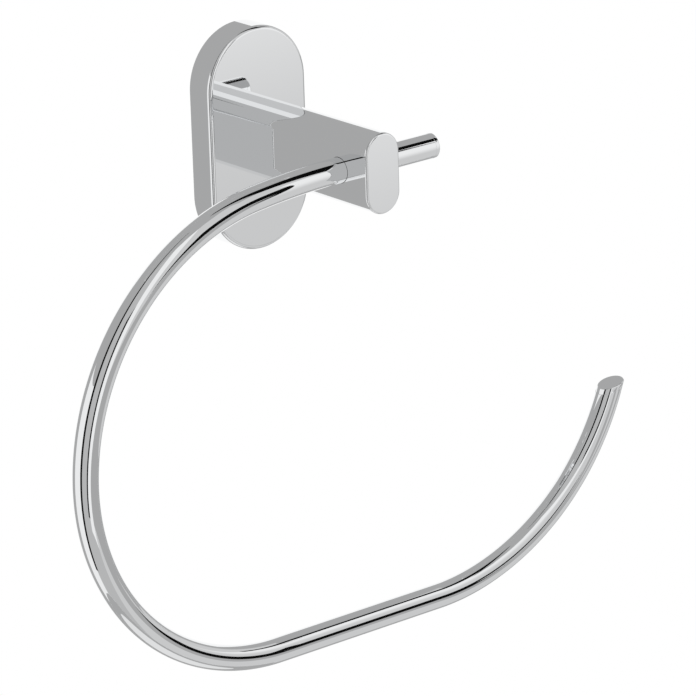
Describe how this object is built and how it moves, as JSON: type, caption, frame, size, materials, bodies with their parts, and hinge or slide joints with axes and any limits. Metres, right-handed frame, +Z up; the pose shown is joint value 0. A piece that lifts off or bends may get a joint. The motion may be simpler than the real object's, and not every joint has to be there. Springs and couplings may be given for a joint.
{
  "type": "towel ring",
  "caption": "Polished wall-fixed towel ring: an open C of round tube held through a short round-ended arm on an upright round-ended wall plate.",
  "frame": {"origin": "middle of the wall plate's back, on the wall", "axes": "+X along the wall to the right as seen from the room, +Y into the wall, +Z up; the ring stands off the wall towards -Y"},
  "size_m": [0.218, 0.069, 0.1864],
  "materials": {
    "chrome_plate": "polished",
    "chrome_arm": "polished",
    "chrome_ring": "polished",
    "chrome_caps": "polished",
    "zinc_bracket": "zinc plated",
    "steel_screws": "zinc plated",
    "steel_set_screws": "black oxide"
  },
  "bodies": {
    "root": {"wall_plate_cover": "chrome_plate", "arm": "chrome_arm", "ring_tube": "chrome_ring", "stub_cap": "chrome_caps", "free_end_cap": "chrome_caps", "wall_bracket": "zinc_bracket", "arm_screw_upper": "steel_screws", "arm_screw_lower": "steel_screws", "arm_washer_upper": "steel_screws", "arm_washer_lower": "steel_screws", "plate_set_screw": "steel_set_screws", "ring_set_screw": "steel_set_screws"}
  },
  "joints": []
}
